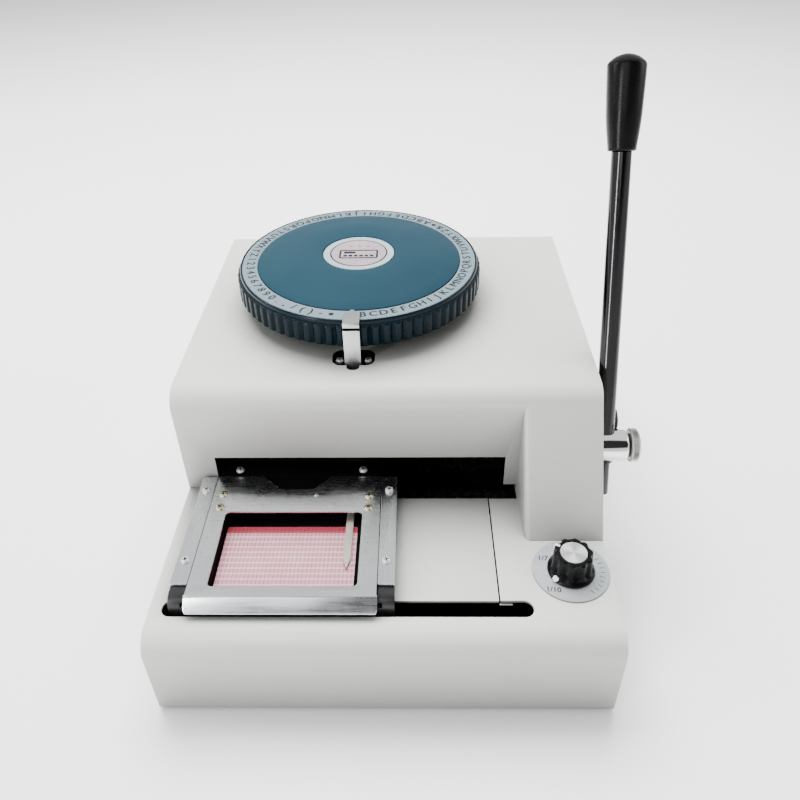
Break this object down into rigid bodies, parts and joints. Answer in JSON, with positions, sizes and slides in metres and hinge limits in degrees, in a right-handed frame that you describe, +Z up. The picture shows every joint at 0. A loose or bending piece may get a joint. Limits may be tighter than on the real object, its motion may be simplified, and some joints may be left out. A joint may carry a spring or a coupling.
{
  "type": "manual plastic card embosser",
  "caption": "Tabletop hand-lever embosser for plastic cards: dial picks the character, a sliding carriage holds the card, and a knob sets the letter pitch.",
  "frame": {"origin": "bottom centre of the bounding box, on the plane that the feet stand on", "axes": "+X to the operator's right (lever side), +Y from the operator towards the rear, +Z up"},
  "size_m": [0.312, 0.352, 0.3262],
  "materials": {
    "housing_paint": "satin off-white enamel",
    "bright_steel": "brushed, plated",
    "chrome": "polished",
    "dark_steel": "blackened, oiled",
    "cast_iron": "machined, unpainted",
    "brass": "turned",
    "black_plastic": "moulded, glossy",
    "blue_plastic": "moulded, dark teal",
    "ring_plate": "printed pale blue",
    "silver_plate": "printed plate",
    "grid_print": "printed grid under film",
    "rubber": "matte",
    "clear_plate": "pale translucent"
  },
  "bodies": {
    "base": {"base_shell": "housing_paint", "head_cover": "housing_paint", "deck_panel": "housing_paint", "base_plate": "dark_steel", "rear_cover": "housing_paint", "foot_front_left": "rubber", "foot_front_right": "rubber", "foot_rear_left": "rubber", "foot_rear_right": "rubber", "left_frame_plate": "cast_iron", "right_frame_plate": "cast_iron", "upper_bridge": "cast_iron", "rocker_pin": "bright_steel", "lower_bridge": "cast_iron", "spindle_seat": "cast_iron", "spindle_post": "bright_steel", "front_guide_rod": "bright_steel", "rear_guide_rod": "bright_steel", "shaft_bearing": "brass", "pointer_needle": "bright_steel", "index_strip": "bright_steel", "lever_stop": "rubber", "pitch_plate": "clear_plate"},
    "lever": {"main_shaft": "bright_steel", "upper_cam": "bright_steel", "press_eccentric": "bright_steel", "lever_rod": "chrome", "lever_grip": "black_plastic", "lever_hub": "chrome"},
    "clamp_knob": {"clamp_knob": "bright_steel"},
    "connecting_rod": {"connecting_rod": "dark_steel"},
    "upper_rocker": {"upper_rocker": "dark_steel"},
    "upper_ram": {"upper_ram": "bright_steel", "ram_spring": "bright_steel"},
    "rock_shaft": {"rock_shaft": "bright_steel", "lower_crank_arm": "dark_steel"},
    "lower_ram": {"lower_ram": "bright_steel"},
    "dial": {"dial_wheel": "blue_plastic", "dial_ring": "ring_plate", "dial_badge": "silver_plate", "wheel_hub": "bright_steel", "upper_type_wheel": "bright_steel", "lower_type_wheel": "bright_steel", "index_gear": "cast_iron"},
    "detent": {"detent_arm": "dark_steel"},
    "carriage": {"left_side_bar": "black_plastic", "right_side_bar": "black_plastic", "left_rail": "bright_steel", "right_rail": "bright_steel", "front_slide_block": "cast_iron", "rear_slide_block": "cast_iron", "spacing_rack": "bright_steel"},
    "pawl": {"spacing_pawl": "dark_steel"},
    "card_frame": {"card_frame": "bright_steel", "grid_tray": "black_plastic", "grid_sheet": "grid_print", "card_holder": "dark_steel", "card_clamp": "bright_steel"},
    "pitch_knob": {"pitch_knob": "black_plastic"}
  },
  "joints": [
    {"name": "lever_pull", "type": "hinge", "parent": "base", "child": "lever", "pos_m": [0, -0.0374, 0.0939], "axis": [1, 0, 0], "range_deg": [0, 75]},
    {"name": "clamp_turn", "type": "hinge", "parent": "lever", "child": "clamp_knob", "pos_m": [0.152, -0.0374, 0.0939], "axis": [1, 0, 0], "range_deg": [0, 270]},
    {"name": "rod_swing", "type": "hinge", "parent": "lever", "child": "connecting_rod", "pos_m": [0.091, -0.04343, 0.09853], "axis": [1, 0, 0], "range_deg": [-75, 0]},
    {"name": "rocker_tilt", "type": "hinge", "parent": "base", "child": "upper_rocker", "pos_m": [-0.0385, -0.018, 0.12], "axis": [1, 0, 0], "range_deg": [-12.3, 0]},
    {"name": "upper_press", "type": "slide", "parent": "base", "child": "upper_ram", "axis": [0, 0, -1], "range_m": [0, 0.0037], "stiffness_N_per_m": 120, "springref_m": -0.006, "deforming": ["ram_spring"]},
    {"name": "rock_turn", "type": "hinge", "parent": "base", "child": "rock_shaft", "pos_m": [-0.016, -0.01, 0.034], "axis": [1, 0, 0], "range_deg": [0, 15.9]},
    {"name": "lower_press", "type": "slide", "parent": "base", "child": "lower_ram", "axis": [0, 0, 1], "range_m": [0, 0.0037]},
    {"name": "dial_spin", "type": "hinge", "parent": "base", "child": "dial", "pos_m": [-0.0385, 0.08, 0.16], "axis": [0, 0, 1], "continuous": true},
    {"name": "detent_swing", "type": "hinge", "parent": "base", "child": "detent", "pos_m": [-0.1085, 0.12, 0.095], "axis": [0, 0, 1], "range_deg": [-6, 0], "stiffness_Nm_per_rad": 0.05, "springref_deg": 2.86},
    {"name": "carriage_travel", "type": "slide", "parent": "base", "child": "carriage", "axis": [1, 0, 0], "range_m": [0, 0.075]},
    {"name": "pawl_lift", "type": "hinge", "parent": "base", "child": "pawl", "pos_m": [-0.046, -0.038, 0.045], "axis": [1, 0, 0], "range_deg": [-8, 0]},
    {"name": "card_slide", "type": "slide", "parent": "carriage", "child": "card_frame", "axis": [0, 1, 0], "range_m": [-0.031, 0.003]},
    {"name": "pitch_turn", "type": "hinge", "parent": "base", "child": "pitch_knob", "pos_m": [0.099, -0.123, 0.075], "axis": [0, 0, 1], "range_deg": [0, 79]}
  ],
  "couplings": [
    {"joint": "rod_swing", "follows": "lever_pull", "ratio": -1},
    {"joint": "rocker_tilt", "follows": "lever_pull", "ratio": -0.164},
    {"joint": "upper_press", "follows": "lever_pull", "m_per_rad": 0.002826},
    {"joint": "rock_turn", "follows": "lever_pull", "ratio": 0.212},
    {"joint": "lower_press", "follows": "lever_pull", "m_per_rad": 0.002826},
    {"joint": "pawl_lift", "follows": "lever_pull", "ratio": -0.10667}
  ]
}
